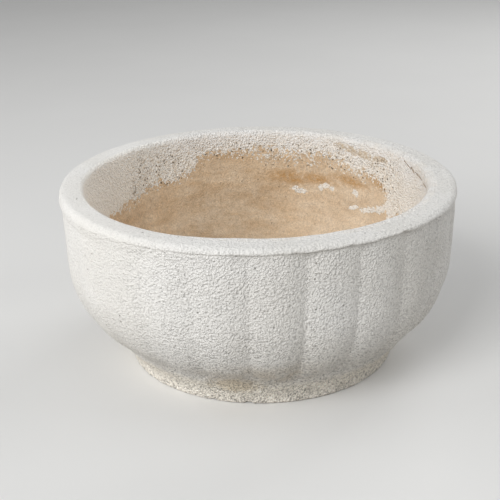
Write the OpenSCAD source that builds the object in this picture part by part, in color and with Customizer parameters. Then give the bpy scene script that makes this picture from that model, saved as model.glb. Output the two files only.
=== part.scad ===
// Round cast-stone basin planter that stands on a foot ring.
// Millimetres, +Z up, origin at the centre of the bearing face of the foot.
// A white facing mix covers the outside and the rim, a tan backing mix makes
// the inner wall and the floor, and a cage of wire is cast into the backing.

/* [Bowl] */
// Outer diameter over the lip
rim_d = 610; // [600:1:630]
// Overall height
bowl_h = 280; // [272:1:300]
// Wall thickness, from the crest of a lobe to the inner face
wall_t = 37; // [34:0.5:40]
// Radius of the belly's outer arc
belly_r = 142; // [136:1:146]
// Height of the centre of the belly's arc
belly_z = 172; // [168:1:176]
// Outward lean of the upper wall, in degrees
wall_lean = 1.9; // [1:0.1:3]
// Outward lean of the inner face, in degrees
inner_lean = 1; // [0.5:0.1:2]
// Angle below level at which the belly's arc ends over the foot, in degrees
belly_to = 50; // [46:0.5:54]

/* [Lip] */
// Height of the lip's band
lip_h = 11; // [11:0.5:20]
// How far the lip stands out from the wall
lip_out = 2.5; // [2:0.1:6]
// Radius of the lip's upper edge
lip_round = 9; // [6:0.5:9]
// Radius of the lip's lower edge
lip_under_round = 1.5; // [0.5:0.1:1.8]
// Radius of the rim's inner edge
inner_round = 8; // [4:0.5:9]

/* [Lobes] */
// Number of shallow lobes round the wall
lobe_count = 24; // [18:1:28]
// Depth of the grooves between lobes, under the lip
groove_top = 3; // [1:0.1:4]
// Depth of the grooves between lobes, where the belly ends
groove_foot = 5.5; // [4:0.1:6.5]

/* [Foot] */
// Diameter of the foot where it stands
foot_d = 418; // [408:1:424]
// Height of the upright band at the foot's edge
foot_band_h = 5; // [3:0.5:8]
// Outward lean of the foot where its hollow curve rises from that band, in degrees
foot_lean = 7; // [2:0.5:12]
// Height of the bend in the foot's hollow curve, between the band and the belly
foot_bend_h = 32; // [28:0.5:38]
// Depth of the hollow under the foot
recess_h = 24; // [18:1:28]
// Diameter of the hollow under the foot, at the ground
recess_d = 332; // [310:1:340]
// Narrowing of the hollow from the ground to its ceiling, on each side
recess_draft = 6; // [3:1:10]

/* [Mixes] */
// Thickness of the white facing behind the crest of a lobe
face_t = 10; // [8.5:0.5:12]
// Thickness of the white facing on the foot
foot_face_t = 12; // [10:0.5:14]
// How far the white facing returns down the inside of the rim
return_h = 40; // [34:1:48]
// Thickness of the facing where it returns down the inside
return_t = 7; // [6:0.5:8]

/* [Drain] */
// Diameter of the drain hole in the floor
drain_d = 30; // [20:1:40]

/* [Steel] */
// Diameter of the wire
wire_d = 5; // [4:0.5:6]
// Mortar film between wires that cross
wire_film = 0.6; // [0.4:0.1:1]
// Mortar cover between the inner face and the upright bars
wire_cover = 7.5; // [6.5:0.5:8.5]
// Number of bars that run up the wall
upright_count = 12; // [8:1:16]
// Mortar between the uprights' upper ends and the facing's return
upright_gap = 3; // [2:0.5:10]
// Length of the leg that each upright has in the floor
upright_leg = 50; // [30:1:70]
// Depth of the rim's hoop below the uprights' upper ends
rim_hoop_down = 7; // [4:1:15]
// Height of the wall's hoop above the centre of the belly's arc
wall_hoop_up = 8; // [4:1:28]
// Angle below level of the belly's hoop on the belly's arc, in degrees
belly_hoop_at = 40; // [34:1:48]
// Angle below level of the floor's hoop on the belly's arc, in degrees
floor_hoop_at = 79; // [76:1:82]
// Distance between the centres of neighbouring floor bars
grid_pitch = 80; // [70:1:90]
// Mortar between the floor's hoop and the ends of the floor bars
grid_gap = 17.7; // [10:0.1:30]

/* [Hidden] */
$fn = 96;
// Steps in each kind of arc, and flats across one lobe
belly_steps = 12;
foot_steps = 6;
edge_steps = 6;
lobe_flats = 6;
// Overlap that buries the end of one shape in the next
bury = 3;
// Height of the lip's solid stone over the tongue of backing, besides the lip itself
tongue_gap = 2;

rim_r = rim_d / 2;
foot_r = foot_d / 2;
lip_z = bowl_h - lip_h;
wall_top_r = rim_r - lip_out;
// Radius of the centre of the belly's arc: the arc runs on into the leaning wall
belly_c = wall_top_r - (lip_z - belly_z + belly_r * sin(wall_lean)) * tan(wall_lean)
        - belly_r * cos(wall_lean);
belly_end_z = belly_z - belly_r * sin(belly_to);
bend_r = foot_r + (foot_bend_h - foot_band_h) * tan(foot_lean);
inner_arc = belly_r - wall_t;
floor_z = belly_z - inner_arc;
return_z = bowl_h - return_h;
// The tongue of backing between the two skins of facing ends just under the lip
tongue_z = lip_z - tongue_gap;
tongue_r = inner_face(bowl_h) + return_t;
bar_arc = inner_arc + wire_cover + wire_d / 2;
wire_step = wire_d + wire_film;
hoop_arc = bar_arc + wire_step;
// Radius of the centre of the wires' bend, to a tenth of a millimetre; the bars rise plumb from it
wire_c = round(10 * belly_c) / 10;
// The round of the lip's upper edge stays within the band
lip_top_round = min(lip_round, lip_h - lip_under_round);
// The steel follows the mortar that it lies in
upright_z = return_z - upright_gap;
rim_hoop_z = upright_z - rim_hoop_down;
wall_hoop_z = belly_z + wall_hoop_up;
grid_r = wire_c + hoop_arc * cos(floor_hoop_at) - wire_d / 2 - grid_gap;

// Radius at height z of the straight face tangent to an arc round the belly's centre
function straight_face(arc, lean, z) = belly_c + arc * cos(lean)
        + (z - belly_z + arc * sin(lean)) * tan(lean);
function outer_face(inset, z) = straight_face(belly_r - inset, wall_lean, z);
function inner_face(z) = straight_face(inner_arc, inner_lean, z);
// Points of an arc in steps, from angle a to angle b
function arc_points(c, z, r, a, b, steps) =
    [for (i = [0 : steps]) let (t = a + (b - a) * i / steps) [c + r * cos(t), z + r * sin(t)]];

// The belly's arc at the lobes' crests, lifted inwards by an inset, from the foot to the wall
function belly_profile(inset) =
    arc_points(belly_c, belly_z, belly_r - inset, -belly_to, -wall_lean, belly_steps);
// Outside at the lobes' crests: the upright band, the foot's hollow curve and the belly
function outer_profile() =
    let (belly = belly_profile(0), band = [foot_r, foot_band_h], bend = [bend_r, foot_bend_h])
    concat(
        [[foot_r, 0], band],
        [for (i = [1 : foot_steps - 1]) let (t = i / foot_steps)
            band * pow(1 - t, 2) + bend * 2 * t * (1 - t) + belly[0] * t * t],
        belly);

// Where the two mixes meet, from the ground to the top of the backing
function mix_profile() = concat(
    [[foot_r - foot_face_t, 0], [bend_r - foot_face_t, foot_bend_h + foot_face_t / 2]],
    belly_profile(face_t),
    [[outer_face(face_t, tongue_z), tongue_z],
     [tongue_r, tongue_z],
     [tongue_r, return_z],
     [inner_face(return_z), return_z]]);

// Inner face from the return of the facing down to the floor
function inner_profile() = arc_points(belly_c, belly_z, inner_arc, -inner_lean, -90, belly_steps);

// Depth of the grooves at height z: they deepen down the wall, then fade out over the foot
function groove_depth(z) = z > belly_end_z
    ? groove_top + (groove_foot - groove_top) * max(0, lip_z - z) / (lip_z - belly_end_z)
    : groove_foot * pow(max(0, z - foot_band_h) / (belly_end_z - foot_band_h), 2);
// Share of the groove's depth at flat j of a lobe: none at the crest, all in the groove
function lobe_share(j) = pow((j % lobe_flats) * 2 / lobe_flats - 1, 2);

// Foot and wall with the lobes, as one closed body of rings; its upper end lies inside the lip
module lobed_body() {
    rings = concat(outer_profile(), [[outer_face(0, lip_z + bury), lip_z + bury]]);
    columns = lobe_count * lobe_flats;
    last = len(rings) - 1;
    points = concat(
        [for (p = rings) for (j = [0 : columns - 1])
            let (r = p[0] - groove_depth(p[1]) * lobe_share(j), t = j * 360 / columns)
            [r * cos(t), r * sin(t), p[1]]],
        [[0, 0, rings[0][1]], [0, 0, rings[last][1]]]);
    base = len(points) - 2;
    top = len(points) - 1;
    side = [for (i = [0 : last - 1]) for (j = [0 : columns - 1])
        let (k = (j + 1) % columns, a = i * columns + j, b = i * columns + k)
        each [[a, a + columns, b + columns], [a, b + columns, b]]];
    ends = [for (j = [0 : columns - 1]) let (k = (j + 1) % columns)
        each [[base, j, k], [top, last * columns + k, last * columns + j]]];
    polyhedron(points, concat(side, ends));
}

// Lip as a solid disc, before the inside is taken out
module lip_disc() {
    rotate_extrude() polygon(concat(
        [[0, lip_z]],
        arc_points(rim_r - lip_under_round, lip_z + lip_under_round, lip_under_round, -90, 0, edge_steps),
        arc_points(rim_r - lip_top_round, bowl_h - lip_top_round, lip_top_round, 0, 90, edge_steps),
        [[0, bowl_h]]));
}

// Everything inside the white facing: the backing and the hollow of the bowl
module facing_core() {
    round_c = inner_face(bowl_h) + inner_round;
    rotate_extrude() polygon(concat(
        [[0, -bury], [foot_r - foot_face_t, -bury]],
        mix_profile(),
        arc_points(round_c, bowl_h - inner_round, inner_round, 180, 90, edge_steps),
        [[round_c, bowl_h + bury], [0, bowl_h + bury]]));
}

module facing_shell() {
    color("whitesmoke")
    difference() {
        union() {
            lobed_body();
            lip_disc();
        }
        facing_core();
    }
}

module backing_shell() {
    color("tan")
    difference() {
        rotate_extrude() polygon(concat(
            mix_profile(),
            inner_profile(),
            [[0, floor_z], [0, recess_h], [recess_d / 2 - recess_draft, recess_h], [recess_d / 2, 0]]));
        translate([0, 0, recess_h - bury]) cylinder(d = drain_d, h = floor_z - recess_h + 2 * bury);
        wall_ring(rim_hoop_z);
        wall_ring(wall_hoop_z);
        arc_hoop(belly_hoop_at);
        arc_hoop(floor_hoop_at);
        upright_set();
        grid_set();
    }
}

// One closed ring of wire
module hoop(r, z) {
    translate([0, 0, z]) rotate_extrude() translate([r, 0]) circle(d = wire_d);
}

// Ring of wire outside the uprights' straight run, at height z
module wall_ring(z) {
    hoop(wire_c + hoop_arc, z);
}

// Ring of wire outside the uprights' bend, at an angle below level
module arc_hoop(at) {
    hoop(wire_c + hoop_arc * cos(at), belly_z - hoop_arc * sin(at));
}

// One bar: a leg in the floor, a bend round the belly and a plumb run up the wall
module upright() {
    translate([wire_c, 0, belly_z - bar_arc]) rotate([0, -90, 0]) cylinder(d = wire_d, h = upright_leg);
    translate([wire_c, 0, belly_z]) rotate([90, 0, 0])
        rotate_extrude(angle = 90, start = -90) translate([bar_arc, 0]) circle(d = wire_d);
    translate([wire_c + bar_arc, 0, belly_z]) cylinder(d = wire_d, h = upright_z - belly_z);
}

module upright_set() {
    for (i = [0 : upright_count - 1]) rotate([0, 0, (i + 0.5) * 360 / upright_count]) upright();
}

// Two crossing layers of straight bars under the uprights' legs, clear of the drain hole
module grid_set() {
    for (layer = [1, 2]) for (i = [-1.5 : 1.5]) {
        half = sqrt(grid_r * grid_r - pow(i * grid_pitch, 2));
        rotate([0, 0, layer * 90])
            translate([-half, i * grid_pitch, belly_z - bar_arc - layer * wire_step])
            rotate([0, 90, 0]) cylinder(d = wire_d, h = 2 * half);
    }
}

module rim_hoop() { color("dimgray") wall_ring(rim_hoop_z); }
module wall_hoop() { color("dimgray") wall_ring(wall_hoop_z); }
module belly_hoop() { color("dimgray") arc_hoop(belly_hoop_at); }
module floor_hoop() { color("dimgray") arc_hoop(floor_hoop_at); }
module upright_bars() { color("slategray") upright_set(); }
module floor_bars() { color("slategray") grid_set(); }

facing_shell();
backing_shell();
rim_hoop();
wall_hoop();
belly_hoop();
floor_hoop();
upright_bars();
floor_bars();
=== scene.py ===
"""Looks of the cast-stone basin planter: dressed shells, stone materials, camera, light and floor."""
import math

import bpy
import numpy as np
from mathutils import Matrix, Vector


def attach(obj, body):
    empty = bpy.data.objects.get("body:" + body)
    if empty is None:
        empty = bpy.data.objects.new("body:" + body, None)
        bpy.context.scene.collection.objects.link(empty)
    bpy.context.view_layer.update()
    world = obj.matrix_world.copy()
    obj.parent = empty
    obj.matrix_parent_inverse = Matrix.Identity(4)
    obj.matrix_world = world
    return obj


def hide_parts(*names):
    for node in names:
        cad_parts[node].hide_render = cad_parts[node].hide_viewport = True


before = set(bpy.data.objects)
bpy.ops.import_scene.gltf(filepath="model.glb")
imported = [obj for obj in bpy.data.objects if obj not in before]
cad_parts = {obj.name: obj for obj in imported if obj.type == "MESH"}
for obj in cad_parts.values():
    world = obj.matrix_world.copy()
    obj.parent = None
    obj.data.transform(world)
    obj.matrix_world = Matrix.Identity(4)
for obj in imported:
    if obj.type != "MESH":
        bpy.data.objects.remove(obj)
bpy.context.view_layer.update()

MM = 0.001

# Sizes of the bowl, the same as the solids have
RIM_R = 305 * MM
BOWL_H = 280 * MM
WALL_T = 37 * MM
BELLY_R = 142 * MM
BELLY_Z = 172 * MM
WALL_LEAN = math.radians(1.9)
INNER_LEAN = math.radians(1)
BELLY_TO = math.radians(50)
LIP_H = 11 * MM
LIP_OUT = 2.5 * MM
LIP_ROUND = 9 * MM
LIP_UNDER_ROUND = 1.5 * MM
INNER_ROUND = 8 * MM
LOBES = 24
GROOVE_TOP = 3 * MM
GROOVE_FOOT = 5.5 * MM
FOOT_R = 209 * MM
FOOT_BAND_H = 5 * MM
FOOT_LEAN = math.radians(7)
FOOT_BEND_H = 32 * MM
FOOT_EDGE = 2 * MM
RECESS_H = 24 * MM
RECESS_R = 166 * MM
RECESS_DRAFT = 6 * MM
FACE_T = 10 * MM
FOOT_FACE_T = 12 * MM
RETURN_H = 40 * MM
RETURN_T = 7 * MM
DRAIN_R = 15 * MM

LIP_Z = BOWL_H - LIP_H
WALL_TOP_R = RIM_R - LIP_OUT
BELLY_C = (WALL_TOP_R - (LIP_Z - BELLY_Z + BELLY_R * math.sin(WALL_LEAN)) * math.tan(WALL_LEAN)
           - BELLY_R * math.cos(WALL_LEAN))
BELLY_END_Z = BELLY_Z - BELLY_R * math.sin(BELLY_TO)
BEND_R = FOOT_R + (FOOT_BEND_H - FOOT_BAND_H) * math.tan(FOOT_LEAN)
INNER_ARC = BELLY_R - WALL_T
FLOOR_Z = BELLY_Z - INNER_ARC
RETURN_Z = BOWL_H - RETURN_H
TONGUE_Z = LIP_Z - 2 * MM

# Mesh: columns round the bowl, the distance between rows where the surface shows, and the angle between
# faces from which an edge is sharp
COLUMNS = LOBES * 24
PITCH = 3 * MM
SHARP_ANGLE = math.radians(55)


# Profile


def straight_face(arc, lean, z):
    """Radius at height z of the straight face that runs on from an arc round the belly's centre."""
    return BELLY_C + arc * math.cos(lean) + (z - BELLY_Z + arc * math.sin(lean)) * math.tan(lean)


def outer_face(inset, z):
    """Radius at height z of the wall's outer face, or of a face inset from it."""
    return straight_face(BELLY_R - inset, WALL_LEAN, z)


def inner_face(z):
    """Radius at height z of the hollow's side."""
    return straight_face(INNER_ARC, INNER_LEAN, z)


INSIDE_R = inner_face(BOWL_H)
TONGUE_R = INSIDE_R + RETURN_T
ROUND_C = INSIDE_R + INNER_ROUND


def arc(centre_r, centre_z, radius, start, end, steps=40):
    """Points of an arc, as radius and height."""
    t = np.linspace(start, end, steps + 1)
    return np.column_stack([centre_r + radius * np.cos(t), centre_z + radius * np.sin(t)])


def belly(inset):
    """Belly from the foot up to the wall, as radius and height."""
    return arc(BELLY_C, BELLY_Z, BELLY_R - inset, -BELLY_TO, -WALL_LEAN)


def foot_curve():
    """Hollow curve from the upright band at the foot's edge up to the belly."""
    t = np.linspace(0, 1, 25)[:, None]
    band, bend = np.array([FOOT_R, FOOT_BAND_H]), np.array([BEND_R, FOOT_BEND_H])
    return band * (1 - t) ** 2 + bend * 2 * t * (1 - t) + belly(0)[0] * t ** 2


def resample(points, pitch):
    """Points at even steps of about one pitch along a line, with both ends kept."""
    points = np.asarray(points, float)
    along = np.concatenate([[0], np.cumsum(np.linalg.norm(np.diff(points, axis=0), axis=1))])
    steps = max(1, round(along[-1] / pitch))
    at = np.linspace(0, along[-1], steps + 1)
    return np.column_stack([np.interp(at, along, points[:, 0]), np.interp(at, along, points[:, 1])])


def mix_line():
    """Where the two mixes meet, from the ground up to the tongue of backing under the lip."""
    return np.vstack([
        [[FOOT_R - FOOT_FACE_T, 0], [BEND_R - FOOT_FACE_T, FOOT_BEND_H + FOOT_FACE_T / 2]],
        resample(belly(FACE_T), 14 * MM),
        [[outer_face(FACE_T, TONGUE_Z), TONGUE_Z], [TONGUE_R, TONGUE_Z], [TONGUE_R, RETURN_Z]]])


def facing_sections():
    """Named stretches of the facing's closed outline, from the ground outwards and up."""
    foot_edge = arc(FOOT_R - FOOT_EDGE, FOOT_EDGE, FOOT_EDGE, -math.pi / 2, 0, 8)
    lip_under = arc(RIM_R - LIP_UNDER_ROUND, LIP_Z + LIP_UNDER_ROUND, LIP_UNDER_ROUND, -math.pi / 2, 0, 12)
    lip_top = arc(RIM_R - LIP_ROUND, BOWL_H - LIP_ROUND, LIP_ROUND, 0, math.pi / 2, 24)
    inner_edge = arc(ROUND_C, BOWL_H - INNER_ROUND, INNER_ROUND, math.pi / 2, math.pi, 16)
    return [
        ("bearing", [[FOOT_R - FOOT_FACE_T, 0], foot_edge[0]], 3 * MM),
        ("foot", np.vstack([foot_edge, foot_curve()]), 2.6 * MM),
        ("wall", np.vstack([belly(0), [[WALL_TOP_R, LIP_Z]]]), PITCH),
        ("ledge", [[WALL_TOP_R, LIP_Z], lip_under[0]], 1.2 * MM),
        ("lip", np.vstack([lip_under, lip_top]), 2.2 * MM),
        ("rim", [lip_top[-1], inner_edge[0]], PITCH),
        ("inside", np.vstack([inner_edge, [[inner_face(RETURN_Z), RETURN_Z]]]), 2.8 * MM),
        ("hidden", mix_line()[::-1], None)]


def backing_sections():
    """Named stretches of the backing's closed outline, from the facing's return down and under."""
    wall = np.vstack([[[inner_face(RETURN_Z), RETURN_Z]],
                      arc(BELLY_C, BELLY_Z, INNER_ARC, -INNER_LEAN, -math.pi / 2)])
    return [
        ("inside", wall, PITCH),
        ("floor", [[BELLY_C, FLOOR_Z], [DRAIN_R + 1.5 * MM, FLOOR_Z]], 6 * MM),
        ("drain", [[DRAIN_R, FLOOR_Z - 1.5 * MM], [DRAIN_R, RECESS_H + 1 * MM]], 5 * MM),
        ("under", [[DRAIN_R + 1 * MM, RECESS_H], [RECESS_R - RECESS_DRAFT - 2 * MM, RECESS_H]], 6 * MM),
        ("under", [[RECESS_R - RECESS_DRAFT, RECESS_H - 2 * MM], [RECESS_R - 1 * MM, 1.5 * MM]], 4 * MM),
        ("bearing", [[RECESS_R + 1 * MM, 0], [FOOT_R - FOOT_FACE_T, 0]], 4 * MM),
        ("hidden", np.vstack([mix_line(), [[inner_face(RETURN_Z), RETURN_Z]]]), None)]


# Repeatable noise in space


def lattice(i, j, k, seed):
    """Repeatable whole number at each point of a lattice."""
    h = (i * 374761393 + j * 668265263 + k * 2147483647 + seed * 1274126177) & 0xFFFFFFFF
    h = ((h ^ (h >> 13)) * 1103515245) & 0xFFFFFFFF
    return h ^ (h >> 16)


def noise(points, size, seed):
    """Smooth noise of about -1 to 1 with features of the given size."""
    q = points / size + 1000
    cell = np.floor(q).astype(np.int64)
    part = q - cell
    weight = part * part * part * (part * (part * 6 - 15) + 10)
    total = np.zeros(len(points))
    for corner in range(8):
        step = np.array([corner & 1, corner >> 1 & 1, corner >> 2 & 1])
        h = lattice(*(cell + step).T, seed)
        slope = np.column_stack([(h >> shift & 1023) / 511.5 - 1 for shift in (0, 10, 20)])
        share = np.prod(np.where(step, weight, 1 - weight), axis=1)
        total += share * np.sum(slope * (part - step), axis=1)
    return total * 1.5


def smooth(value, low, high):
    """0 below low, 1 above high and an easy curve between."""
    t = np.clip((value - low) / (high - low), 0, 1)
    return t * t * (3 - 2 * t)


# Hand-made unevenness

# How far the foot lies off to one side, the left bulges, the lip's top edge is worn down all round and more
# on the right, the wall is cut in under the lip, and the waist is filled out at the sides
FOOT_SLIP = 3 * MM
LEFT_SWELL = 1.2 * MM
RIM_WEAR = 1 * MM
RIGHT_WEAR = 1.5 * MM
NOTCH = 1.6 * MM
WAIST_FILL = 4 * MM
WAIST_Z = 38 * MM
WAIST_REACH = 13 * MM
NOTCH_REACH = 3 * MM

# Overhang that is left where the lip runs into the wall, and the share by which it does so on the front's left
LIP_REST = 0.3 * MM
FRONT_BLEND = 0.85

# Heights and radii between which some of these set in
SWELL_RISE = (120 * MM, 170 * MM)
BLEND_RISE = (LIP_Z - 18 * MM, LIP_Z)
WEAR_RISE = (LIP_Z - 30 * MM, LIP_Z - 4 * MM)
SLIP_FALL = (30 * MM, 72 * MM)
SLIP_RADII = (120 * MM, 190 * MM)
HOLLOW_RISE = (90 * MM, 190 * MM)
LIP_LINE_RISE = (LIP_Z - 22 * MM, LIP_Z - 1 * MM)
LIP_LINE_FALL = (LIP_Z + 1.5 * MM, BOWL_H - 0.5 * MM)
GROOVE_BLEND_RISE = (LIP_Z - 30 * MM, LIP_Z)

# Middle and width in degrees of the sectors that these belong to, by azimuth from the far side
LEFT = (-88, 28)
FRONT_LEFT = (-135, 34)
FRONT_RIGHT = (143, 26)
RIGHT = (62, 30)
WAIST_SIDES = ((111, 26), (-117, 26))

# How far the lip's lower edge lies above its nominal height, by azimuth, in millimetres
LIP_LINE = [(-180, 2), (-168, 2), (-150, 0), (-135, -2), (-127, -5), (-90, -5), (-60, -4), (-30, 0), (60, 1),
            (100, 0), (115, 1), (125, 3), (136, 4.5), (150, 4), (165, 3.5), (180, 2)]

# How far the hollow's side lies outside its true circle, by azimuth, in millimetres
HOLLOW_LINE = [(-180, -10), (-172, -7.5), (-165, -4), (-156, 0), (-145, 1), (-110, 3), (-90, 4), (-50, 3),
               (0, 0), (50, -2), (90, -5), (125, -5.5), (140, -9), (152, -10), (165, -8), (180, -10)]

# Share of the nominal depth that each groove has, by azimuth; the one right of the front is deepest
GROOVE_SHARE = [(-180, 1.1), (-172, 1.1), (-165, 0.7), (-150, 0.8), (-90, 0.8), (90, 1), (127, 1), (143, 1),
                (150, 1.25), (157, 1.2), (163, 1.8), (168, 1.8), (175, 1.1), (180, 1.1)]


def by_azimuth(azimuth, line):
    """Value at each azimuth of a line given as (azimuth, value)."""
    return np.interp(azimuth, *np.array(line).T)


def spread(azimuth, centre, width):
    """Share that is 1 at one azimuth and fades to both sides, in degrees."""
    away = (azimuth - centre + 180) % 360 - 180
    return np.exp(-(away / width) ** 2)


def blended(azimuth):
    """Share by which the lip runs smoothly into the wall: all on the left, much on the front's left half."""
    return np.maximum(spread(azimuth, *LEFT), FRONT_BLEND * spread(azimuth, *FRONT_LEFT))


def handwork(points, label):
    """Move points to where the hand-made bowl leaves true circles: foot, waist, hollow, rim and lip."""
    z = points[:, 2].copy()
    radius = np.hypot(points[:, 0], points[:, 1])
    azimuth = np.degrees(np.arctan2(points[:, 0], points[:, 1]))
    left = spread(azimuth, *LEFT)
    merged = blended(azimuth)
    wall = (label == "wall") | (label == "ledge")
    upper = wall | (label == "lip") | (label == "rim")
    off_edge = smooth(radius, ROUND_C, RIM_R - LIP_ROUND)

    # Outside: swollen left, filled waist, lip run into the wall or undercut, and worn top edge
    outward = LEFT_SWELL * left * smooth(z, *SWELL_RISE) * wall
    sides = sum(spread(azimuth, *sector) for sector in WAIST_SIDES)
    outward += WAIST_FILL * sides * np.exp(-((z - WAIST_Z) / WAIST_REACH) ** 2) * (wall | (label == "foot"))
    behind_lip = np.clip((RIM_R - radius) / LIP_OUT, 0, 1) * wall
    outward += (LIP_OUT - LIP_REST) * merged * smooth(z, *BLEND_RISE) * behind_lip
    cut = np.exp(-((z - LIP_Z) / NOTCH_REACH) ** 2) * (0.7 + noise(points, 17 * MM, seed=13))
    outward -= NOTCH * spread(azimuth, *FRONT_RIGHT) * cut * behind_lip
    near_top = smooth(z, *WEAR_RISE) * off_edge
    outward -= (RIM_WEAR * (1 - left) + RIGHT_WEAR * spread(azimuth, *RIGHT)) * near_top * upper
    points[:, :2] *= (1 + outward / np.maximum(radius, 1 * MM))[:, None]

    # Foot to one side, and hollow off its circle
    points[:, 0] += FOOT_SLIP * (1 - smooth(z, *SLIP_FALL)) * smooth(radius, *SLIP_RADII)
    hollow = (label == "inside") * smooth(z, *HOLLOW_RISE)
    hollow = np.maximum(hollow, (label == "rim") * (1 - off_edge))
    shift = by_azimuth(azimuth, HOLLOW_LINE) * MM * hollow
    points[:, :2] *= (1 + shift / np.maximum(radius, 1 * MM))[:, None]

    # Lip's lower edge up and down
    edge = smooth(z, *LIP_LINE_RISE) * (1 - smooth(z, *LIP_LINE_FALL))
    points[:, 2] += by_azimuth(azimuth, LIP_LINE) * MM * edge * upper
    ragged = (label == "ledge") | ((label == "lip") & (z < LIP_Z + 6 * MM))
    wander = noise(points, 14 * MM, seed=11) * 1.1 * MM + noise(points, 45 * MM, seed=12) * 0.9 * MM
    points[:, 2] += wander * ragged * (1 - 0.7 * merged)


# Shells


def grid_normals(grid):
    """Outward normals of a grid that closes on itself both ways."""
    down = np.roll(grid, -1, axis=0) - np.roll(grid, 1, axis=0)
    across = np.roll(grid, -1, axis=1) - np.roll(grid, 1, axis=1)
    normal = np.cross(across, down)
    return normal / np.maximum(np.linalg.norm(normal, axis=2, keepdims=True), 1e-9)


def groove_depth(z):
    """Depth of the grooves between lobes: more down the wall, then fading out over the foot."""
    wall = GROOVE_TOP + (GROOVE_FOOT - GROOVE_TOP) * (LIP_Z - z) / (LIP_Z - BELLY_END_Z)
    share = np.clip((z - FOOT_BAND_H) / (BELLY_END_Z - FOOT_BAND_H), 0, 1)
    return np.where(z > BELLY_END_Z, wall, GROOVE_FOOT * share ** 2)


# How far the surface swells and sinks by stretch of the outline, in millimetres: grain, dents and pits. A pit
# is this many times as deep as its number says
PIT_DEPTH = 4
RELIEF = {
    "bearing": (0.1, 0.1, 0.0),
    "foot": (0.4, 0.6, 0.4),
    "wall": (0.12, 0.45, 0.15),
    "ledge": (0.25, 0.4, 0.2),
    "lip": (0.25, 0.5, 0.25),
    "rim": (0.18, 0.5, 0.2),
    "inside": (0.12, 0.6, 0.1),
    "floor": (0.15, 0.6, 0.3),
    "drain": (0.2, 0.2, 0.0),
    "under": (0.3, 0.6, 0.5),
    "hidden": (0.0, 0.0, 0.0),
}

# Broken corners: azimuth from the front, to the right, in degrees, radius, height, reach and depth
CHIPS = [
    (-2, FOOT_R, 2 * MM, 9 * MM, 2.6 * MM),
    (-17, FOOT_R, 1 * MM, 7 * MM, 1.8 * MM),
    (38, FOOT_R, 8 * MM, 10 * MM, 1.6 * MM),
    (-52, FOOT_R, 16 * MM, 12 * MM, 1.5 * MM),
    (150, FOOT_R, 2 * MM, 11 * MM, 2.6 * MM),
    (-115, FOOT_R, 1 * MM, 8 * MM, 2.2 * MM),
    (12, RIM_R, LIP_Z + 3 * MM, 6 * MM, 1.6 * MM),
    (27, RIM_R, LIP_Z + 2 * MM, 8 * MM, 1.8 * MM),
    (44, RIM_R, LIP_Z + 3 * MM, 7 * MM, 1.5 * MM),
    (-140, RIM_R, BOWL_H - 4 * MM, 10 * MM, 2.4 * MM),
]


def front_point(azimuth, radius, height):
    """Point at a radius and height, by azimuth from the front."""
    a = math.radians(azimuth)
    return np.array([radius * math.sin(a), -radius * math.cos(a), height])


def outline(sections):
    """Points of a closed outline as radius and height, and the name of each point's stretch."""
    profile, names = [], []
    for label, points, pitch in sections:
        line = np.asarray(points, float) if pitch is None else resample(points, pitch)
        if profile and np.allclose(profile[-1], line[0], atol=1e-6):
            line = line[1:]
        profile.extend(line)
        names.extend([label] * len(line))
    if np.allclose(profile[0], profile[-1], atol=1e-6):
        profile.pop()
        names.pop()
    return np.array(profile), np.array(names)


def swept(profile, names):
    """The outline swept round the axis, with grooves between lobes on the foot and the wall."""
    turn = np.arange(COLUMNS) / COLUMNS * 2 * math.pi
    lobe_share = ((turn * LOBES / (2 * math.pi)) % 1 * 2 - 1) ** 2
    r = np.repeat(profile[:, :1], COLUMNS, axis=1)
    z = np.repeat(profile[:, 1:], COLUMNS, axis=1)
    lobed = np.isin(names, ("foot", "wall"))[:, None]
    azimuth = (90 - np.degrees(turn) + 180) % 360 - 180
    share = lobe_share * by_azimuth(azimuth, GROOVE_SHARE)
    r -= lobed * groove_depth(z) * share * (1 - blended(azimuth) * smooth(z, *GROOVE_BLEND_RISE))
    return np.dstack([r * np.cos(turn), r * np.sin(turn), z]).reshape(-1, 3)


def roughen(points, label, rows):
    """Move points along the surface's normal by grain, dents, pits and broken corners."""
    relief = np.array([RELIEF[name] for name in label]) * MM
    grain = noise(points, 5.5 * MM, seed=1) + 0.5 * noise(points, 9 * MM, seed=2)
    dents = noise(points, 32 * MM, seed=3) + 0.8 * noise(points, 95 * MM, seed=4)
    pits = smooth(noise(points, 11 * MM, seed=5), 0.55, 0.8)
    height = relief[:, 0] * grain + relief[:, 1] * dents - relief[:, 2] * PIT_DEPTH * pits
    for azimuth, radius, level, reach, depth in CHIPS:
        away = np.linalg.norm(points - front_point(azimuth, radius, level), axis=1)
        away = away + 2 * MM * noise(points, 6 * MM, seed=6)
        height -= depth * (1 - smooth(away, 0.3 * reach, reach))
    normals = grid_normals(points.reshape(rows, COLUMNS, 3)).reshape(-1, 3)
    standing = (label == "bearing") | (points[:, 2] < 1 * MM)
    height[standing] = np.minimum(height[standing], 0)
    points += normals * (height * (label != "hidden"))[:, None]
    points[:, 2] = np.clip(points[:, 2], 0, BOWL_H + 1 * MM)


def closed_mesh(name, points, rows):
    """Mesh of a grid of points that closes on itself both ways."""
    index = np.arange(rows * COLUMNS).reshape(rows, COLUMNS)
    below = np.roll(index, -1, axis=0)
    quads = np.dstack([index, np.roll(index, -1, axis=1), np.roll(below, -1, axis=1), below]).reshape(-1, 4)
    mesh = bpy.data.meshes.new(name)
    mesh.vertices.add(len(points))
    mesh.vertices.foreach_set("co", points.ravel())
    mesh.loops.add(quads.size)
    mesh.loops.foreach_set("vertex_index", quads.ravel())
    mesh.polygons.add(len(quads))
    mesh.polygons.foreach_set("loop_start", np.arange(0, quads.size, 4))
    mesh.polygons.foreach_set("use_smooth", np.ones(len(quads), bool))
    mesh.update(calc_edges=True)
    mesh.validate()
    mesh.set_sharp_from_angle(angle=SHARP_ANGLE)
    return mesh


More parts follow.
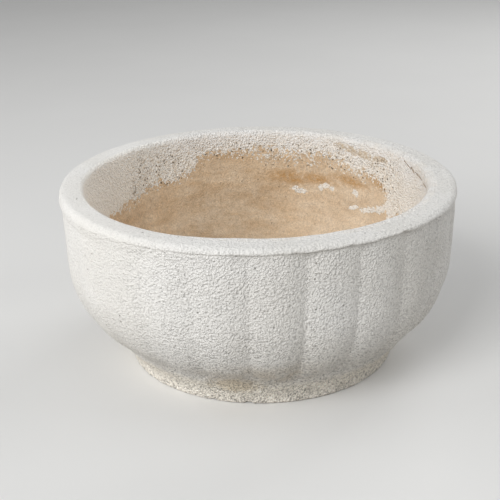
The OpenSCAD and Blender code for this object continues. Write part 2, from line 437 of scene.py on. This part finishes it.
def shell(name, sections, node):
    """A closed shell: the outline swept round, with lobes, hand-made unevenness and grain."""
    profile, names = outline(sections)
    points = swept(profile, names)
    label = np.repeat(names, COLUMNS)
    handwork(points, label)
    roughen(points, label, len(profile))
    piece = bpy.data.objects.new(name, closed_mesh(name, points, len(profile)))
    bpy.context.collection.objects.link(piece)
    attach(piece, "root")
    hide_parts(node)
    return piece


# Materials


class Nodes:
    """Short calls that build one material's nodes."""

    def __init__(self, name):
        self.material = bpy.data.materials.new(name)
        self.material.use_nodes = True
        self.tree = self.material.node_tree
        self.shader = self.tree.nodes["Principled BSDF"]

    def put(self, socket, value):
        """Feed an input from another node's output, or set it to a constant."""
        if isinstance(value, bpy.types.NodeSocket):
            self.tree.links.new(value, socket)
        elif isinstance(value, tuple) and len(value) == 3 and socket.type == "RGBA":
            socket.default_value = (*value, 1)
        else:
            socket.default_value = value

    def add(self, kind, inputs=(), **settings):
        node = self.tree.nodes.new("ShaderNode" + kind)
        for key, value in settings.items():
            setattr(node, key, value)
        for key, value in dict(inputs).items():
            self.put(node.inputs[key], value)
        return node

    def math(self, operation, *values):
        node = self.add("Math", operation=operation)
        for socket, value in zip(node.inputs, values):
            self.put(socket, value)
        return node.outputs[0]

    def sum(self, *values):
        total = values[0]
        for value in values[1:]:
            total = self.math("ADD", total, value)
        return total

    def product(self, *values):
        total = values[0]
        for value in values[1:]:
            total = self.math("MULTIPLY", total, value)
        return total

    def less(self, a, b):
        return self.math("SUBTRACT", a, b)

    def most(self, a, b):
        return self.math("MAXIMUM", a, b)

    def least(self, a, b):
        return self.math("MINIMUM", a, b)

    def centred(self, value):
        """A noise of 0 to 1 moved to lie about 0."""
        return self.less(value, 0.5)

    def step(self, value, low, high):
        """Smooth step from 0 at low to 1 at high; low may be the larger."""
        node = self.add("MapRange", {"Value": value, "From Min": low, "From Max": high},
                        interpolation_type="SMOOTHSTEP")
        return node.outputs["Result"]

    def noise(self, vector, size, detail=2.0, rough=0.5):
        node = self.add("TexNoise", {"Vector": vector, "Scale": 1 / size,
                                     "Detail": detail, "Roughness": rough})
        return node.outputs["Fac"]

    def shaken(self, vector, size, reach):
        """The vector moved about by noise, so that cells laid over it lose their round shape."""
        jumble = self.add("TexNoise", {"Vector": vector, "Scale": 1 / size, "Detail": 1.0}).outputs["Color"]
        node = self.add("VectorMath", {0: jumble, 1: (reach, reach, reach), 2: vector},
                        operation="MULTIPLY_ADD")
        return node.outputs[0]

    def cells(self, vector, size):
        """Distance to the nearest of scattered points, and a random number for each point."""
        node = self.add("TexVoronoi", {"Vector": vector, "Scale": 1 / size})
        number = self.add("SeparateColor", {"Color": node.outputs["Color"]}).outputs[0]
        return node.outputs["Distance"], number

    def mix(self, factor, a, b):
        node = self.add("Mix", data_type="RGBA")
        self.put(node.inputs[0], factor)
        self.put(node.inputs[6], a)
        self.put(node.inputs[7], b)
        return node.outputs[2]

    def shade(self, color, factor):
        """The color made darker or lighter by a factor."""
        return self.add("VectorMath", {0: color, "Scale": factor}, operation="SCALE").outputs[0]

    def vector(self, x, y, z):
        return self.add("CombineXYZ", {"X": x, "Y": y, "Z": z}).outputs[0]

    def stretched(self, vector, *factors):
        """The vector times a factor along each axis."""
        return self.add("VectorMath", {0: vector, 1: factors}, operation="MULTIPLY").outputs[0]

    def length(self, vector):
        return self.add("VectorMath", {0: vector}, operation="LENGTH").outputs["Value"]


# Height in millimetres that the full brightness of a ramp stands for
RAMP_SPAN = 300


def by_angle(nodes, angle, points):
    """Height that follows the angle round the bowl, from a list of (degrees, millimetres)."""
    node = nodes.add("ValToRGB")
    ramp = node.color_ramp
    ramp.interpolation = "EASE"
    for degrees, height in points:
        element = ramp.elements.new((degrees + 180) / 360)
        share = height / RAMP_SPAN
        element.color = (share, share, share, 1)
    # The two elements that every new ramp has
    ramp.elements.remove(ramp.elements[0])
    ramp.elements.remove(ramp.elements[-1])
    nodes.put(node.inputs[0], nodes.sum(nodes.product(angle, 1 / 360), 0.5))
    return nodes.product(node.outputs[0], RAMP_SPAN * MM)


# Lower edge of the white band inside, by angle from the far side, in millimetres
WHITE_EDGE = [(-175, 205), (-140, 215), (-110, 196), (-90, 184), (-64, 176), (-55, 183), (-48, 198),
              (-36, 198), (-30, 202), (-26, 226), (-22, 232), (-14, 230), (-6, 228), (2, 221), (8, 217),
              (16, 219), (27, 221), (34, 216), (42, 212), (48, 208), (53, 200), (58, 178), (66, 166),
              (90, 172), (115, 196), (140, 208), (165, 222)]

# Height of the speckled fringe above that edge, in millimetres
FRINGE = [(-170, 18), (-110, 14), (-60, 12), (-32, 12), (-25, 22), (-10, 22), (0, 34), (16, 34), (28, 28),
          (38, 18), (56, 12), (100, 20), (160, 16)]

# White patches inside: angle, height, half width along the wall and half height in millimetres, and tilt
WHITE_PATCHES = [
    (66, 196, 58, 30, 0),
    (56, 178, 18, 16, 30),
    (44, 161, 20, 5, 14),
    (37, 158, 10, 3.5, 20),
    (50, 168, 16, 6, 20),
    (37.5, 185, 6, 7, 30),
    (24, 188, 7, 5, 12),
    (27, 184, 5, 4, 0),
    (22, 183, 4, 5, 20),
    (14, 173.5, 13, 5, -4),
    (11, 177, 8, 3.5, 20),
    (-150, 150, 30, 16, 10),
    (120, 170, 22, 20, 0),
]

# Rusty ochre stains inside
OCHRE_PATCHES = [
    (8, 201, 34, 11, 3),
    (20, 199, 36, 10, -3),
    (11, 192, 24, 7, 0),
    (35, 204, 36, 9, -6),
    (49, 213, 24, 8, -12),
    (150, 240, 40, 8, 0),
]

# Brown streak that crosses the white on the right, and two hairline cracks
STREAKS = [
    (30, 265, 13, 5, -8),
    (35, 260.5, 16, 7, -16),
    (41, 256.5, 20, 7, -8),
    (49, 257, 20, 5, 6),
]
CRACKS = [
    (66, 267.5, 12, 1.3, -18),
    (70.5, 264, 9, 2.2, -25),
    (76, 263, 18, 1.4, -3),
    (86, 261, 20, 1.2, 4),
    (92, 256, 9, 1.2, 40),
    (-55, 212, 1.1, 9, 4),
    (-56, 203, 4, 1.0, 12),
]


def patches(nodes, wall, blobs, ragged, soft=0.15):
    """Mask of tilted ellipses on the unrolled inner wall, with ragged edges that fade softly."""
    total = None
    for degrees, height, half_width, half_height, tilt in blobs:
        place = (math.radians(degrees) * INSIDE_R, height * MM, 0)
        size = (half_width * MM, half_height * MM, 1)
        near = nodes.add("Mapping", {"Vector": wall, "Location": place, "Scale": size,
                                     "Rotation": (0, 0, math.radians(tilt))}, vector_type="TEXTURE")
        away = nodes.sum(nodes.length(near.outputs[0]), ragged)
        mask = nodes.step(away, 1 + soft, 1 - soft)
        total = mask if total is None else nodes.most(total, mask)
    return total


# Zones of the stone by height, from where each sets in to where it is full
LOW_Z = (170 * MM, 50 * MM)
TOP_Z = (LIP_Z - 2 * MM, LIP_Z + 3 * MM)
FOOT_Z = (70 * MM, 40 * MM)
FOOT_PALE_Z = (50 * MM, 26 * MM)
WAIST_FROM_Z = (34 * MM, 56 * MM)
WAIST_TO_Z = (108 * MM, 72 * MM)
DEEP_Z = (215 * MM, 150 * MM)
MOTTLE_Z = (190 * MM, 214 * MM)
UNDER_RIM_Z = (268 * MM, 254 * MM)
PITTED_Z = (200 * MM, 212 * MM)
CHALK_WARM_Z = (266 * MM, 222 * MM)
HOLLOW_Z = (60 * MM, 64 * MM)
UNDERSIDE_Z = (30 * MM, 28 * MM)

# Zones from left to right, from front to back, and by radius
FRONT_FROM_X = (-110 * MM, -10 * MM)
FRONT_TO_X = (130 * MM, 40 * MM)
RIGHT_X = (0.0, 160 * MM)
DEEP_TO_X = (60 * MM, -30 * MM)
DEEP_FROM_X = (-200 * MM, -110 * MM)
TAN_LEFT_X = (-90 * MM, -200 * MM)
CHALK_LEFT_X = (-120 * MM, -220 * MM)
FAR_LEFT_X = (-205 * MM, -238 * MM)
PITTED_X = (238 * MM, 215 * MM)
STAIN_Y = (-100 * MM, -140 * MM)
UNDERSIDE_R = (190 * MM, 188 * MM)

# The left side outside, in shares of the rim's radius
LEFT_SHARE = (-0.15, -0.85)

# How deep the colors of the inside reach into the wall
INSIDE_DEPTH = (13 * MM, 9 * MM)

# Stain on the waist: how far its middle lies to the left and up, and its half width and half height
STAIN_LEFT = 26 * MM
STAIN_Z = 38 * MM
STAIN_W = 34 * MM
STAIN_H = 15 * MM

# Colors of the white facing
WHITE = (0.86, 0.85, 0.825)
WHITE_CLOUD = (0.82, 0.805, 0.77)
# Warm cream towards the foot; its extra paleness is painted light
WHITE_FOOT_WARMTH_AND_PAINTED_LIGHT = (0.93, 0.885, 0.80)
# Darker brown under the belly: partly dirt, partly painted shade
WAIST_DIRT_AND_SHADE = (0.52, 0.43, 0.31)
WAIST_STAIN = (0.66, 0.50, 0.27)
# Dark fill of the small holes: painted shade
HOLE_SHADE = (0.30, 0.27, 0.23)

# Colors of the tan backing
TAN_DARK = (0.58, 0.43, 0.28)
TAN = (0.69, 0.555, 0.405)
TAN_CLOUD = (0.68, 0.575, 0.45)
TAN_RIGHT = (0.70, 0.59, 0.46)
SMUDGE = (0.40, 0.27, 0.16)
MOTTLE = (0.54, 0.35, 0.19)
OCHRE = (0.45, 0.26, 0.10)
UNDERSIDE = (0.50, 0.44, 0.36)

# Colors of the bloom inside, and of what lies on it
CHALK = (0.93, 0.915, 0.89)
CHALK_WARM = (0.94, 0.91, 0.855)
CHALK_CLOUD = (0.88, 0.835, 0.76)
# Whiter chalk on the left: painted light
CHALK_LEFT_PAINTED_LIGHT = (0.97, 0.955, 0.91)
PIT_HALO = (0.62, 0.49, 0.34)
RUST_TINT = (0.68, 0.55, 0.39)
STREAK = (0.61, 0.48, 0.32)
# Dark fill of the pits: painted shade
PIT_SHADE = (0.14, 0.10, 0.06)
CRACK = (0.42, 0.32, 0.23)


class Surface:
    """Coordinates on the bowl, and the noises and zones that the parts of the stone share."""

    def __init__(self, n):
        self.place = n.add("TexCoord").outputs["Object"]
        axes = n.add("SeparateXYZ", {0: self.place}).outputs
        self.x, self.y, self.z = axes[0], axes[1], axes[2]
        self.radius = n.math("SQRT", n.sum(n.product(self.x, self.x), n.product(self.y, self.y)))
        self.angle = n.product(n.math("ARCTAN2", self.x, self.y), 180 / math.pi)
        self.wall = n.vector(n.product(self.angle, math.radians(1) * INSIDE_R), self.z, 0.0)

        self.shaken = n.shaken(self.place, 3.5 * MM, 1.8 * MM)
        self.bump = n.cells(self.shaken, 3.8 * MM)[0]
        self.fine = n.noise(self.place, 2.4 * MM, 1.0, 0.6)
        self.small = n.noise(self.place, 7 * MM, 3.0, 0.55)
        self.medium = n.noise(self.place, 28 * MM, 3.0, 0.55)
        self.large = n.noise(self.place, 130 * MM, 2.0, 0.5)
        self.grit = n.sum(n.product(n.less(0.5, self.bump), 0.7), n.centred(self.fine))
        # Creases between the grain's cells, where painted shade is laid
        self.crease = n.product(n.step(self.bump, 0.42, 0.75), n.step(self.fine, 0.62, 0.38))
        self.ragged = n.product(n.centred(self.small), 2.4)

        # Strength of the grain's relief and of its speckles: less on the rim and on the left. Speckles are
        # strongest near the foot
        self.low = n.step(self.z, *LOW_Z)
        self.top = n.step(self.z, *TOP_Z)
        self.left = n.step(n.product(self.x, 1 / RIM_R), *LEFT_SHARE)
        calm = n.product(n.less(1.0, n.product(self.top, 0.3)), n.less(1.0, n.product(self.left, 0.5)))
        self.outside_grain = n.product(calm, n.sum(0.95, n.product(self.low, 0.1)))
        self.speckle = n.product(n.sum(1.0, n.product(self.low, 2.2)), calm)

        # The far left of the inside is the most even
        self.even = n.step(self.x, *FAR_LEFT_X)


def white_facing(n, at):
    """Color of the white facing, with painted shade in its small holes, and a mask of the holes."""
    # Warmer in large clouds and towards the foot, and darker in the waist, most on the front: partly dirt and
    # partly painted shade
    white = n.mix(n.step(at.large, 0.35, 0.7), WHITE, WHITE_CLOUD)
    # Paler towards the foot as painted light, with the stone's own warmth
    white = n.mix(n.step(at.z, *FOOT_PALE_Z), white, WHITE_FOOT_WARMTH_AND_PAINTED_LIGHT)
    waist = n.product(n.step(at.z, *WAIST_FROM_Z), n.step(at.z, *WAIST_TO_Z), n.step(at.medium, 0.2, 0.6))
    front = n.product(n.step(at.x, *FRONT_FROM_X), n.step(at.x, *FRONT_TO_X))
    white = n.mix(n.product(waist, n.sum(0.06, n.product(front, 0.38))), white, WAIST_DIRT_AND_SHADE)

    # Rusty stain low on the front, and the rim's top painted slightly darker as painted shade
    near = n.vector(n.sum(at.x, STAIN_LEFT), n.less(at.z, STAIN_Z), 0.0)
    away = n.length(n.stretched(near, 1 / STAIN_W, 1 / STAIN_H, 0))
    away = n.sum(away, n.product(n.centred(at.small), 1.8))
    stain = n.product(n.step(away, 1.5, 0.5), n.step(at.y, *STAIN_Y))
    white = n.mix(n.product(stain, 0.4), white, WAIST_STAIN)
    white = n.shade(white, n.less(1.0, n.product(at.top, 0.03)))

    # Speckled tone of the grain, its raised cells painted lighter as painted highlight and its creases darker
    # as painted shade, and clouds on the foot
    shade = n.sum(1.0, n.product(n.centred(at.fine), at.speckle, 0.42),
                  n.product(n.less(0.4, at.bump), at.speckle, 0.10))
    shade = n.less(shade, n.product(at.crease, at.outside_grain, n.sum(0.12, n.product(at.low, 0.08))))
    clouds = n.sum(n.product(n.centred(at.small), 0.5), n.product(n.centred(at.medium), 0.4))
    white = n.shade(white, n.sum(shade, n.product(clouds, n.step(at.z, *FOOT_Z))))

    # Small holes, darkened with painted shade
    hole, number = n.cells(at.shaken, 13 * MM)
    holes = n.product(n.step(hole, 0.13, 0.06), n.step(number, 0.62, 0.9))
    return n.mix(n.product(holes, 0.7), white, HOLE_SHADE), holes


def tan_backing(n, at):
    """Color of the tan backing: long level stains, upright runs and clouds, paler to the right, with painted
    light on the left and painted shade low in the hollow.
    """
    stains = n.noise(n.stretched(at.place, 0.4, 0.4, 1.6), 24 * MM, 4.0, 0.6)
    tan = n.mix(n.step(stains, 0.3, 0.7), TAN_DARK, TAN)
    tan = n.mix(n.product(n.step(at.medium, 0.45, 0.75), 0.5), tan, TAN_CLOUD)
    tan = n.mix(n.product(n.step(at.x, *RIGHT_X), 0.4), tan, TAN_RIGHT)
    runs = n.noise(n.stretched(at.place, 1.8, 1.8, 0.35), 14 * MM, 3.0, 0.6)
    tan = n.shade(tan, n.sum(1.0, n.product(n.centred(runs), 0.22)))
    # Lighter on the left as painted light, and darker low in the middle of the hollow as painted shade
    deep = n.product(n.step(at.z, *DEEP_Z), n.step(at.x, *DEEP_TO_X), n.step(at.x, *DEEP_FROM_X))
    paler = n.sum(1.0, n.product(n.step(at.x, *TAN_LEFT_X), 0.14))
    tan = n.shade(tan, n.less(paler, n.product(deep, 0.13)))
    smudges = n.noise(n.stretched(at.place, 0.65, 0.65, 1.8), 30 * MM, 3.0, 0.65)
    tan = n.mix(n.product(n.step(smudges, 0.52, 0.72), 0.3), tan, SMUDGE)
    high = n.step(n.less(at.z, n.product(at.small, 30 * MM)), *MOTTLE_Z)
    tan = n.mix(n.product(high, n.step(at.fine, 0.42, 0.58), 0.22), tan, MOTTLE)
    ochre = patches(n, at.wall, OCHRE_PATCHES, n.product(n.centred(at.small), 3.0), 0.7)
    tan = n.mix(n.product(ochre, n.sum(0.45, n.product(n.step(at.small, 0.4, 0.6), 0.5))), tan, OCHRE)
    return n.shade(tan, n.sum(1.0, n.product(n.centred(at.fine), 0.75), n.product(n.centred(at.small), 0.35)))


def white_bloom(n, at):
    """Mask and color of the white bloom inside, and a mask of the pits in it."""
    # Solid near the rim, and broken into specks towards its lower edge
    edge_noise = n.sum(n.product(n.centred(at.small), 30 * MM), n.product(n.centred(at.medium), 24 * MM))
    above = n.less(n.sum(at.z, edge_noise), by_angle(n, at.angle, WHITE_EDGE))
    above = n.math("DIVIDE", above, by_angle(n, at.angle, FRINGE))
    bare = n.less(n.less(0.61, n.product(above, 0.12)), n.product(n.step(above, 0.7, 1.15), 0.38))
    cover = n.less(n.noise(at.place, 4.2 * MM, 2.0, 0.6), bare)
    band = n.most(n.step(cover, -0.05, 0.05), n.step(above, 0.95, 1.2))
    band = n.least(band, n.step(above, -0.05, 0.1))
    bloom = n.most(band, patches(n, at.wall, WHITE_PATCHES, at.ragged))

    # Pits and rust show along its lower edge and above that, but not at the far right nor close to the rim,
    # and hardly at the far left
    near_edge = n.product(n.step(above, -0.2, 0.15), n.step(above, 1.9, 1.0))
    higher = n.product(n.step(at.x, *PITTED_X), n.step(at.z, *PITTED_Z), bloom)
    worn = n.most(near_edge, higher)
    under_rim = n.step(at.z, *UNDER_RIM_Z)
    cluster = n.step(n.noise(at.place, 17 * MM, 1.0), 0.42, 0.56)
    pit, number = n.cells(n.shaken(at.place, 14 * MM, 8 * MM), 5 * MM)
    chosen = n.product(n.step(number, 0.2, 0.7), cluster, under_rim, worn, n.less(1.0, at.even))
    pits = n.product(n.step(pit, 0.34, 0.12), chosen)
    halo = n.product(n.step(pit, 0.7, 0.2), chosen)
    rusty = n.product(worn, under_rim, n.less(1.0, n.product(at.even, 0.8)))

    chalk = n.mix(n.step(at.z, *CHALK_WARM_Z), CHALK, CHALK_WARM)
    cloud = n.product(n.step(at.medium, 0.35, 0.7), n.less(0.5, n.product(at.left, 0.5)))
    chalk = n.mix(cloud, chalk, CHALK_CLOUD)
    # Whiter on the left: painted light on the shaded left inner wall
    chalk = n.mix(n.step(at.x, *CHALK_LEFT_X), chalk, CHALK_LEFT_PAINTED_LIGHT)
    chalk = n.mix(n.product(halo, 0.38), chalk, PIT_HALO)
    chalk = n.mix(n.product(rusty, n.step(at.small, 0.50, 0.38), 0.32), chalk, RUST_TINT)
    chalk = n.shade(chalk, n.sum(1.0, n.product(n.centred(at.fine), n.sum(0.35, n.product(rusty, 0.6)))))
    return bloom, chalk, pits


def inside_mask(n, at):
    """Mask of what lies within a few millimetres of the hollow's side and floor."""
    below = n.least(n.most(n.less(BELLY_Z, at.z), 0.0), INNER_ARC)
    bowl = n.sum(BELLY_C, n.math("SQRT", n.less(INNER_ARC ** 2, n.product(below, below))))
    into_wall = n.less(n.sum(at.radius, n.product(at.ragged, 0.8 * MM)), bowl)
    return n.product(n.step(into_wall, *INSIDE_DEPTH), n.step(at.z, *HOLLOW_Z))


def stone(name):
    """Weathered cast stone: white facing outside and round the rim, stained tan inside."""
    n = Nodes(name)
    at = Surface(n)
    white, holes = white_facing(n, at)
    bloom, chalk, pits = white_bloom(n, at)
    inner = n.mix(bloom, tan_backing(n, at), chalk)
    streak = n.product(patches(n, at.wall, STREAKS, at.ragged), n.step(at.small, 0.25, 0.6))
    inner = n.mix(n.product(streak, 0.8), inner, STREAK)
    # Pits darkened with painted shade
    inner = n.mix(n.product(pits, 0.9), inner, PIT_SHADE)
    crack = patches(n, at.wall, CRACKS, at.ragged)
    inner = n.mix(n.product(crack, 0.75), inner, CRACK)
    inside = inside_mask(n, at)
    color = n.mix(inside, white, inner)
    underside = n.product(n.step(at.radius, *UNDERSIDE_R), n.step(at.z, *UNDERSIDE_Z))
    color = n.mix(underside, color, UNDERSIDE)
    n.put(n.shader.inputs["Base Color"], color)

    # Bare tan is smoother than the rest
    bare = n.product(inside, n.less(1.0, bloom))
    rough = n.less(n.sum(0.84, n.product(at.small, 0.14)), n.product(bare, 0.12))
    n.put(n.shader.inputs["Roughness"], rough)
    n.shader.inputs["Specular IOR Level"].default_value = 0.3
    grain = n.sum(n.product(n.less(1.0, inside), at.outside_grain),
                  n.product(inside, n.less(1.1, n.product(at.even, 0.45))))
    grain = n.product(grain, n.less(1.0, n.product(bare, 0.75)))
    relief = n.product(n.sum(at.grit, n.product(n.centred(at.small), 0.12)), grain)
    relief = n.less(relief, n.product(holes, 0.7))
    relief = n.less(relief, n.product(n.sum(pits, n.product(crack, 0.6)), inside, 1.2))
    bump = n.add("Bump", {"Height": relief, "Distance": 3.1 * MM, "Strength": 1.0})
    n.put(n.shader.inputs["Normal"], bump.outputs[0])
    return n.material


# Colors of the wire
STEEL = (0.30, 0.29, 0.28)
RUST = (0.26, 0.12, 0.06)


def wire(name):
    """Drawn steel wire with a skin of rust."""
    n = Nodes(name)
    place = n.add("TexCoord").outputs["Object"]
    spots = n.noise(place, 6 * MM, 4.0, 0.6)
    rust = n.step(spots, 0.42, 0.6)
    n.put(n.shader.inputs["Base Color"], n.mix(rust, STEEL, RUST))
    n.put(n.shader.inputs["Metallic"], n.less(1.0, rust))
    n.put(n.shader.inputs["Roughness"], n.sum(0.4, n.product(rust, 0.45)))
    bump = n.add("Bump", {"Height": spots, "Distance": 0.3 * MM, "Strength": 0.6})
    n.put(n.shader.inputs["Normal"], bump.outputs[0])
    return n.material


def dress():
    """The two shells of stone, and rust on the wires."""
    facing = shell("facing_stone", facing_sections(), "facing_shell")
    backing = shell("backing_stone", backing_sections(), "backing_shell")
    facing.data.materials.append(stone("white_facing_stone"))
    backing.data.materials.append(stone("tan_backing_stone"))
    steel = wire("rusty_wire")
    for node in ("rim_hoop", "wall_hoop", "belly_hoop", "floor_hoop", "upright_bars", "floor_bars"):
        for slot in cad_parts[node].material_slots:
            slot.material = steel


# Camera, light and floor

# Focal length and picture in pixels, and the sensor in millimetres
FOCAL_PX = 1100
FRAME_PX = 500
SENSOR = 36
CAMERA_AZIMUTH = math.radians(3)
CAMERA_ELEVATION = math.radians(22.3)
CAMERA_ROLL = math.radians(-0.73)
CAMERA_DISTANCE = 1.752
FARTHEST_SEEN = 50
# Where the bowl's middle lies in the photograph, in pixels from the left and the top
MIDDLE_PX = (259.3, 261.3)

# Square soft lamps: name, place and watts. All of them look at one point in the bowl
LAMPS = [
    ("key", (-1.6, -2.8, 2.4), 102),
    ("left", (-3.0, -0.4, 1.7), 25),
    ("right", (3.0, -0.2, 2.2), 21),
    ("back", (1.6, 2.4, 2.4), 35),
]
LAMP_SIZE = 2.0
LIT_POINT = (0, 0, 0.15)

# Strength of the white sky as it lights the bowl, and as it is seen
SKY_LIGHT = 0.25
SKY_SEEN = 0.7

# Floor: half its width, how far it lies under the foot, its two shades, and its color as it lights the bowl
FLOOR_HALF = 8
FLOOR_GAP = 0.4 * MM
FLOOR_SHADES = ((0.74, 0.74, 0.73), (0.78, 0.78, 0.77))
FLOOR_BOUNCE = (0.58, 0.56, 0.53)


def camera():
    """The photograph's camera."""
    data = bpy.data.cameras.new("camera")
    data.sensor_width = SENSOR
    data.lens = FOCAL_PX / FRAME_PX * SENSOR
    data.shift_x = (FRAME_PX / 2 - MIDDLE_PX[0]) / FRAME_PX
    data.shift_y = (MIDDLE_PX[1] - FRAME_PX / 2) / FRAME_PX
    data.clip_end = FARTHEST_SEEN
    away = Vector((math.sin(CAMERA_AZIMUTH) * math.cos(CAMERA_ELEVATION),
                   -math.cos(CAMERA_AZIMUTH) * math.cos(CAMERA_ELEVATION),
                   math.sin(CAMERA_ELEVATION)))
    right = Vector((math.cos(CAMERA_AZIMUTH), math.sin(CAMERA_AZIMUTH), 0))
    up = away.cross(right)
    turn = Matrix.Rotation(CAMERA_ROLL, 3, away)
    right, up = turn @ right, turn @ up
    place = away * CAMERA_DISTANCE + Vector((0, 0, BOWL_H / 2))
    eye = bpy.data.objects.new("camera", data)
    eye.matrix_world = Matrix.Translation(place) @ Matrix((right, up, away)).transposed().to_4x4()
    bpy.context.collection.objects.link(eye)
    bpy.context.scene.camera = eye


def lamp(name, place, watts):
    """Square soft light that looks at the bowl."""
    data = bpy.data.lights.new(name, "AREA")
    data.size = LAMP_SIZE
    data.energy = watts
    item = bpy.data.objects.new(name, data)
    item.location = place
    item.rotation_euler = (Vector(LIT_POINT) - Vector(place)).to_track_quat("-Z", "Y").to_euler()
    bpy.context.collection.objects.link(item)


def seen(tree):
    """1 for rays that show the floor or the sky itself, 0 for rays that light other things by it."""
    rays = tree.nodes.new("ShaderNodeLightPath").outputs
    total = rays["Is Camera Ray"]
    for kind in ("Is Glossy Ray", "Is Transmission Ray"):
        node = tree.nodes.new("ShaderNodeMath")
        node.operation = "MAXIMUM"
        tree.links.new(total, node.inputs[0])
        tree.links.new(rays[kind], node.inputs[1])
        total = node.outputs[0]
    return total


def studio():
    """Lamps and a white sky."""
    for name, place, watts in LAMPS:
        lamp(name, place, watts)
    world = bpy.data.worlds.new("world")
    world.use_nodes = True
    tree = world.node_tree
    background = tree.nodes["Background"]
    background.inputs["Color"].default_value = (1, 1, 1, 1)
    level = tree.nodes.new("ShaderNodeMapRange")
    level.inputs["To Min"].default_value = SKY_LIGHT
    level.inputs["To Max"].default_value = SKY_SEEN
    tree.links.new(seen(tree), level.inputs["Value"])
    tree.links.new(level.outputs[0], background.inputs["Strength"])
    bpy.context.scene.world = world
    bpy.context.scene.view_settings.view_transform = "Standard"


def floor():
    """Plain pale floor."""
    mesh = bpy.data.meshes.new("floor")
    corners = [(-FLOOR_HALF, -FLOOR_HALF, 0), (FLOOR_HALF, -FLOOR_HALF, 0),
               (FLOOR_HALF, FLOOR_HALF, 0), (-FLOOR_HALF, FLOOR_HALF, 0)]
    mesh.from_pydata(corners, [], [(0, 1, 2, 3)])
    ground = bpy.data.objects.new("floor", mesh)
    ground.location.z = -FLOOR_GAP
    bpy.context.collection.objects.link(ground)
    n = Nodes("pale_floor")
    place = n.add("TexCoord").outputs["Object"]
    pale = n.mix(n.noise(place, 0.4), *FLOOR_SHADES)
    n.put(n.shader.inputs["Base Color"], n.mix(seen(n.tree), FLOOR_BOUNCE, pale))
    n.shader.inputs["Roughness"].default_value = 0.9
    mesh.materials.append(n.material)


camera()
studio()
floor()
dress()
